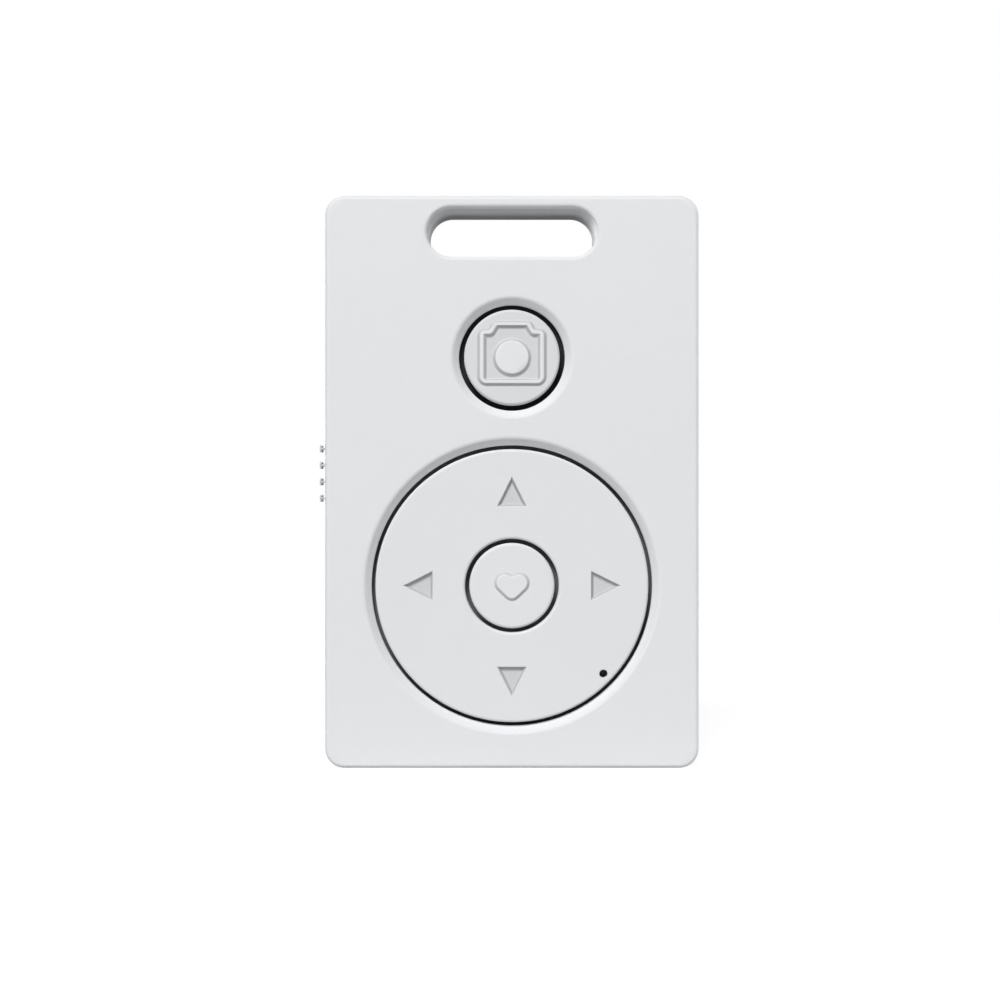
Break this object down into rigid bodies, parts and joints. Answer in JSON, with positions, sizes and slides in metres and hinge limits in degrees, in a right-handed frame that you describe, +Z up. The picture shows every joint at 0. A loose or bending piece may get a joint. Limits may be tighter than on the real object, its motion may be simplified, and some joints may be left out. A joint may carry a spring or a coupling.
{
  "type": "bluetooth camera shutter remote",
  "caption": "Card-shaped wireless camera remote with a shutter key, a four-way ring round a heart key, a slide switch, a strap slot and a coin cell.",
  "frame": {"origin": "centre of the flat lower edge that the remote stands on, on the parting plane at half thickness", "axes": "+X to the right as seen from the front, +Y from the front face to the back, +Z up along the length towards the strap slot"},
  "size_m": [0.0401, 0.0083, 0.06],
  "materials": {
    "case_plastic": "moulded, fine satin texture",
    "key_plastic": "moulded, satin",
    "slider_plastic": "moulded, mid grey",
    "silicone": "matt black",
    "spring_steel": "bright",
    "screw_steel": "zinc plated",
    "gold": "plated",
    "copper": "etched foil",
    "board": "solder mask over glass fibre",
    "film": "clear matt film",
    "black_plastic": "moulded",
    "tan_plastic": "moulded",
    "ceramic": "fired",
    "crystal_can": "seam-sealed can",
    "led_lens": "clear resin",
    "cell_steel": "nickel plated",
    "gasket": "moulded",
    "cell_core": "pressed powder and lithium foil"
  },
  "bodies": {
    "case": {"antenna_trace": "copper", "battery_negative_contact": "spring_steel", "battery_positive_contact": "spring_steel", "bluetooth_chip": "black_plastic", "board_screws": "screw_steel", "capacitors": "ceramic", "case_screws": "screw_steel", "cell_can": "cell_steel", "cell_cap": "cell_steel", "cell_filling": "cell_core", "cell_gasket": "gasket", "circuit_board": "board", "contact_pads": "gold", "crystal": "crystal_can", "dome_down": "spring_steel", "dome_film": "film", "dome_heart": "spring_steel", "dome_left": "spring_steel", "dome_right": "spring_steel", "dome_shutter": "spring_steel", "dome_up": "spring_steel", "front_cover": "case_plastic", "heart_key_rubber": "silicone", "indicator_led": "led_lens", "rear_cover": "case_plastic", "resistors": "black_plastic", "shutter_key_rubber": "silicone", "switch_base": "tan_plastic", "switch_shell": "spring_steel", "switch_terminals": "gold"},
    "shutter_key": {"shutter_button": "key_plastic"},
    "heart_key": {"heart_button": "key_plastic"},
    "nav_pad": {"nav_pad_rubber": "silicone"},
    "nav_ring": {"nav_ring": "key_plastic"},
    "slider": {"power_slider": "slider_plastic", "switch_lever": "black_plastic"},
    "door": {"battery_door": "case_plastic"}
  },
  "joints": [
    {"name": "shutter_press", "type": "slide", "parent": "case", "child": "shutter_key", "axis": [0, 1, 0], "range_m": [0, 0.00025], "stiffness_N_per_m": 6000, "deforming": ["shutter_key_rubber", "dome_shutter"]},
    {"name": "heart_press", "type": "slide", "parent": "case", "child": "heart_key", "axis": [0, 1, 0], "range_m": [0, 0.00025], "stiffness_N_per_m": 6000, "deforming": ["heart_key_rubber", "dome_heart"]},
    {"name": "ring_tilt_up_down", "type": "hinge", "parent": "case", "child": "nav_pad", "pos_m": [0, -0.0025, 0.01912], "axis": [1, 0, 0], "range_deg": [-1.3, 1.3], "stiffness_Nm_per_rad": 0.9, "deforming": ["nav_pad_rubber", "dome_up", "dome_down"]},
    {"name": "ring_tilt_left_right", "type": "hinge", "parent": "nav_pad", "child": "nav_ring", "pos_m": [0, -0.0025, 0.01912], "axis": [0, 0, 1], "range_deg": [-1.3, 1.3], "stiffness_Nm_per_rad": 0.9, "deforming": ["dome_left", "dome_right"]},
    {"name": "power_slide", "type": "slide", "parent": "case", "child": "slider", "axis": [0, 0, 1], "range_m": [0, 0.002]},
    {"name": "door_turn", "type": "hinge", "parent": "case", "child": "door", "pos_m": [0, 0.0034, 0.021], "axis": [0, 1, 0], "range_deg": [0, 35]}
  ]
}
